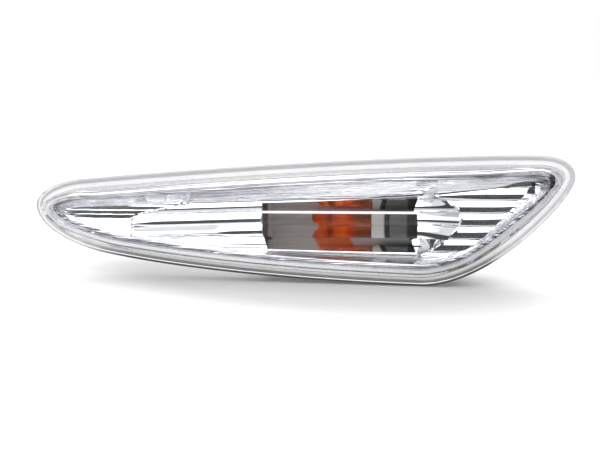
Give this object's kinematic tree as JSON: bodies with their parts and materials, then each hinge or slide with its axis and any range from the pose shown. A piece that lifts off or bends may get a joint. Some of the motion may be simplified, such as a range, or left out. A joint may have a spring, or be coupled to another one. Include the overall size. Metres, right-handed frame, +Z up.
{
  "type": "side repeater lamp",
  "caption": "Long leaf-shaped side indicator lamp for a car's front wing, with a clear domed lens, a fluted bright reflector, an amber wedge bulb and a twist-in bulb holder.",
  "frame": {"origin": "middle of the lamp's length and height, on the plane of the wing panel's outer face, which is the rear face of the gasket", "axes": "+X along the lamp towards its slanted broad end, +Y from the lens into the car, +Z up"},
  "size_m": [0.1599, 0.0382, 0.0388],
  "materials": {
    "clear_lens": "clear, gloss",
    "bright_reflector": "vacuum-metallised plastic",
    "clear_window": "clear, gloss, fluted",
    "housing_plastic": "moulded, satin",
    "foam_rubber": "closed-cell foam, matt",
    "spring_steel": "rolled strip",
    "black_rubber": "matt",
    "holder_plastic": "moulded, satin",
    "brass_terminal": "stamped, bright",
    "amber_glass": "amber, clear gloss",
    "filament_wire": "drawn wire",
    "clear_glass": "gloss",
    "lead_wire": "drawn wire"
  },
  "bodies": {
    "lamp": {"lens": "clear_lens", "reflector": "bright_reflector", "window_lens": "clear_window", "housing": "housing_plastic", "gasket": "foam_rubber", "spring_clip": "spring_steel", "vent_cap": "black_rubber"},
    "bulb_holder": {"holder_body": "holder_plastic", "holder_seal": "black_rubber", "terminal_upper": "brass_terminal", "terminal_lower": "brass_terminal", "bulb_glass": "amber_glass", "bulb_filament": "filament_wire", "bulb_bead": "clear_glass", "bulb_wire_upper": "lead_wire", "bulb_wire_lower": "lead_wire"}
  },
  "joints": [
    {"name": "holder_twist", "type": "hinge", "parent": "lamp", "child": "bulb_holder", "pos_m": [0.034, 0.0154, -0.0033], "axis": [1, 0, 0], "range_deg": [0, 45]}
  ]
}
